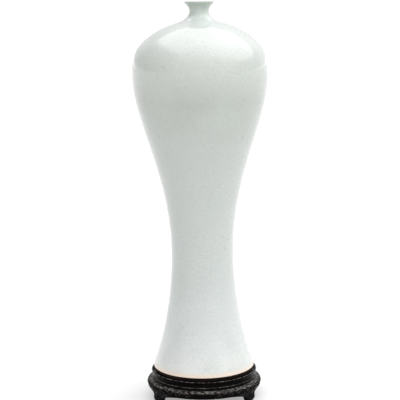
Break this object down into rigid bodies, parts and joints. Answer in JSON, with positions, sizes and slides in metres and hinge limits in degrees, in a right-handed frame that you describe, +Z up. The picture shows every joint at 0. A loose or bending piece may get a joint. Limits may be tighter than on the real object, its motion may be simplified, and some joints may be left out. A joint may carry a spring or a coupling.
{
  "type": "porcelain vase on stand",
  "caption": "Tall waisted porcelain bottle vase with a small flared mouth, broad shoulder and fine crackle glaze, standing loose in a fenced round hardwood stand with three bracket feet.",
  "frame": {"origin": "on the floor under the three feet, on the common axis of the vase and the stand", "axes": "+Z up along the axis, -Y to the front between two legs, +X to the right"},
  "size_m": [0.1614, 0.1614, 0.481],
  "materials": {
    "crackle_glaze": "glossy pale celadon glaze with a fine crackle",
    "ebonised_wood": "black stained hardwood, satin lacquer",
    "stained_wood": "dark stained hardwood, unpolished",
    "peg_wood": "plain cut hardwood"
  },
  "bodies": {
    "stand": {"seat_panel": "ebonised_wood", "tenon_pegs": "peg_wood", "rim_joint_keys": "peg_wood", "rim_arc_1": "ebonised_wood", "rim_arc_2": "ebonised_wood", "rim_arc_3": "ebonised_wood", "waist_strip_1": "ebonised_wood", "waist_strip_2": "ebonised_wood", "waist_strip_3": "ebonised_wood", "apron_board_1": "ebonised_wood", "apron_board_2": "ebonised_wood", "apron_board_3": "ebonised_wood", "leg_1": "ebonised_wood", "leg_2": "ebonised_wood", "leg_3": "ebonised_wood", "panel_batten_left": "stained_wood", "panel_batten_right": "stained_wood"},
    "vase": {"vase_body": "crackle_glaze"}
  },
  "joints": [
    {"name": "vase_lift", "type": "slide", "parent": "stand", "child": "vase", "axis": [0, 0, 1], "range_m": [0, 0.04]}
  ]
}
